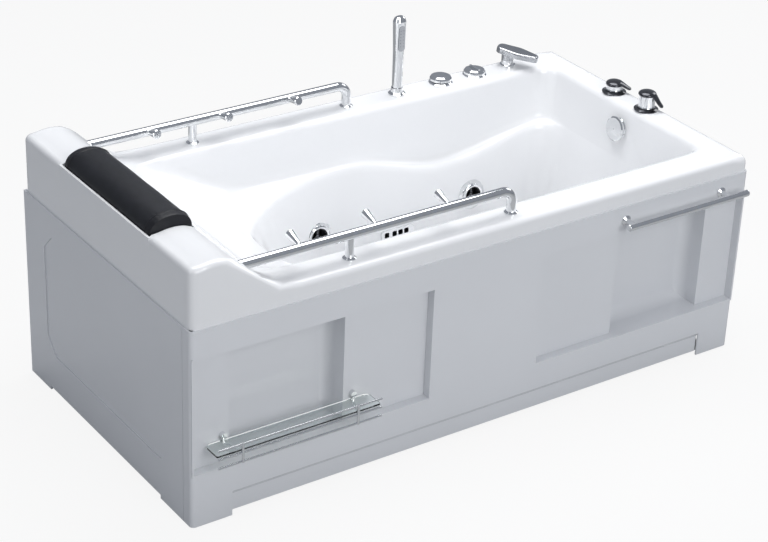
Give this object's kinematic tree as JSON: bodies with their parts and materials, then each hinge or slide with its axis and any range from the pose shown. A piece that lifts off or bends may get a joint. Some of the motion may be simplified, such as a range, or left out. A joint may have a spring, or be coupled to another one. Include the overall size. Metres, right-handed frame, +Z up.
{
  "type": "jetted bathtub",
  "caption": "White jetted bathtub with a raised head wall and pillow, side grab rails, deck fittings, wall jets, and an apron with niches, a glass shelf and a towel bar.",
  "frame": {"origin": "on the floor, under the middle of the whole object's box, towel bar included", "axes": "+X from the head end to the foot end, +Y from the front apron to the back, +Z up"},
  "size_m": [1.7, 0.899, 0.812],
  "materials": {
    "acrylic": "gloss",
    "apron_acrylic": "gloss",
    "pillow": "soft sheen",
    "black_plastic": "matte",
    "chrome": "polished",
    "dark_gloss": "gloss",
    "steel": "galvanised",
    "screw_steel": "brushed",
    "board": "raw",
    "pipe": "matte",
    "air_hose": "matte",
    "rubber": "matte",
    "brass": "satin",
    "glass": "clear",
    "motor": "satin"
  },
  "bodies": {
    "tub": {"tub_shell": "acrylic", "head_pillow": "pillow", "pillow_studs": "black_plastic", "front_apron": "apron_acrylic", "end_apron": "apron_acrylic", "apron_clips": "black_plastic", "support_frame": "steel", "base_board": "board", "grab_rail_front": "chrome", "grab_rail_back": "chrome", "rail_posts": "chrome", "rail_pegs": "chrome", "rail_nuts": "brass", "shower_holder": "chrome", "shower_hose_guide": "black_plastic", "air_button_base": "chrome", "air_dial_base": "chrome", "air_switch_body": "black_plastic", "air_valve_body": "black_plastic", "spout_base": "chrome", "spout_shank": "brass", "tap_flanges": "dark_gloss", "tap_valves": "brass", "overflow_ring": "chrome", "overflow_pipe": "pipe", "drain_flange": "chrome", "waste_trap": "pipe", "jet_rings": "chrome", "jet_bodies": "black_plastic", "suction_cover": "chrome", "suction_box": "black_plastic", "pump_motor": "motor", "pump_volute": "black_plastic", "control_box": "pipe", "water_pipes": "pipe", "air_pipes": "air_hose", "towel_bar": "chrome", "towel_brackets": "chrome", "shelf_frame": "chrome", "glass_shelf": "glass"},
    "handset": {"hand_shower": "chrome", "shower_spray_face": "dark_gloss"},
    "pump_button": {"air_button": "chrome"},
    "air_mixer": {"air_dial": "chrome"},
    "spout_arm": {"spout": "dark_gloss"},
    "mixer": {"mixer_handle": "chrome"},
    "diverter": {"diverter_handle": "chrome"},
    "waste_knob": {"overflow_knob": "chrome"},
    "plug": {"drain_plug": "chrome"},
    "impeller": {"pump_rotor": "screw_steel"},
    "jet_spinner_back_head": {"jet_rotor_back_head": "dark_gloss"},
    "jet_spinner_back_foot": {"jet_rotor_back_foot": "dark_gloss"},
    "jet_spinner_front_head": {"jet_rotor_front_head": "dark_gloss"},
    "jet_spinner_front_foot": {"jet_rotor_front_foot": "dark_gloss"},
    "foot_front_head": {"levelling_foot_front_head": "rubber"},
    "foot_front_middle": {"levelling_foot_front_middle": "rubber"},
    "foot_front_foot": {"levelling_foot_front_foot": "rubber"},
    "foot_back_head": {"levelling_foot_back_head": "rubber"},
    "foot_back_middle": {"levelling_foot_back_middle": "rubber"},
    "foot_back_foot": {"levelling_foot_back_foot": "rubber"}
  },
  "joints": [
    {"name": "handset_lift", "type": "slide", "parent": "tub", "child": "handset", "axis": [0, 0, 1], "range_m": [0, 0.12]},
    {"name": "pump_button_press", "type": "slide", "parent": "tub", "child": "pump_button", "axis": [0, 0, -1], "range_m": [0, 0.004], "stiffness_N_per_m": 1500, "springref_m": -0.002},
    {"name": "air_mixer_turn", "type": "hinge", "parent": "tub", "child": "air_mixer", "pos_m": [0.533, 0.4035, 0.582], "axis": [0, 0, 1], "range_deg": [-270, 0]},
    {"name": "spout_swivel", "type": "hinge", "parent": "tub", "child": "spout_arm", "pos_m": [0.655, 0.4095, 0.582], "axis": [0, 0, 1], "range_deg": [-60, 60]},
    {"name": "mixer_turn", "type": "hinge", "parent": "tub", "child": "mixer", "pos_m": [0.804, -0.0285, 0.582], "axis": [0, 0, 1], "range_deg": [-45, 45]},
    {"name": "diverter_turn", "type": "hinge", "parent": "tub", "child": "diverter", "pos_m": [0.804, 0.1095, 0.582], "axis": [0, 0, 1], "range_deg": [0, 90]},
    {"name": "waste_knob_turn", "type": "hinge", "parent": "tub", "child": "waste_knob", "pos_m": [0.75725, 0.0245, 0.513], "axis": [-0.9921, 0, 0.1258], "range_deg": [0, 90]},
    {"name": "plug_lift", "type": "slide", "parent": "tub", "child": "plug", "axis": [0, 0, 1], "range_m": [0, 0.012]},
    {"name": "impeller_spin", "type": "hinge", "parent": "tub", "child": "impeller", "pos_m": [-0.57, -0.0005, 0.222], "axis": [1, 0, 0], "continuous": true},
    {"name": "jet_spin_back_head", "type": "hinge", "parent": "tub", "child": "jet_spinner_back_head", "pos_m": [-0.056, 0.29579, 0.265], "axis": [0, -0.996, 0.0894], "continuous": true},
    {"name": "jet_spin_back_foot", "type": "hinge", "parent": "tub", "child": "jet_spinner_back_foot", "pos_m": [0.464, 0.29579, 0.265], "axis": [0, -0.996, 0.0894], "continuous": true},
    {"name": "jet_spin_front_head", "type": "hinge", "parent": "tub", "child": "jet_spinner_front_head", "pos_m": [-0.056, -0.24679, 0.265], "axis": [0, 0.996, 0.0894], "continuous": true},
    {"name": "jet_spin_front_foot", "type": "hinge", "parent": "tub", "child": "jet_spinner_front_foot", "pos_m": [0.464, -0.24679, 0.265], "axis": [0, 0.996, 0.0894], "continuous": true},
    {"name": "level_front_head", "type": "slide", "parent": "tub", "child": "foot_front_head", "axis": [0, 0, 1], "range_m": [-0.015, 0.015]},
    {"name": "level_front_middle", "type": "slide", "parent": "tub", "child": "foot_front_middle", "axis": [0, 0, 1], "range_m": [-0.015, 0.015]},
    {"name": "level_front_foot", "type": "slide", "parent": "tub", "child": "foot_front_foot", "axis": [0, 0, 1], "range_m": [-0.015, 0.015]},
    {"name": "level_back_head", "type": "slide", "parent": "tub", "child": "foot_back_head", "axis": [0, 0, 1], "range_m": [-0.015, 0.015]},
    {"name": "level_back_middle", "type": "slide", "parent": "tub", "child": "foot_back_middle", "axis": [0, 0, 1], "range_m": [-0.015, 0.015]},
    {"name": "level_back_foot", "type": "slide", "parent": "tub", "child": "foot_back_foot", "axis": [0, 0, 1], "range_m": [-0.015, 0.015]}
  ],
  "couplings": [
    {"joint": "plug_lift", "follows": "waste_knob_turn", "m_per_rad": 0.007639}
  ]
}
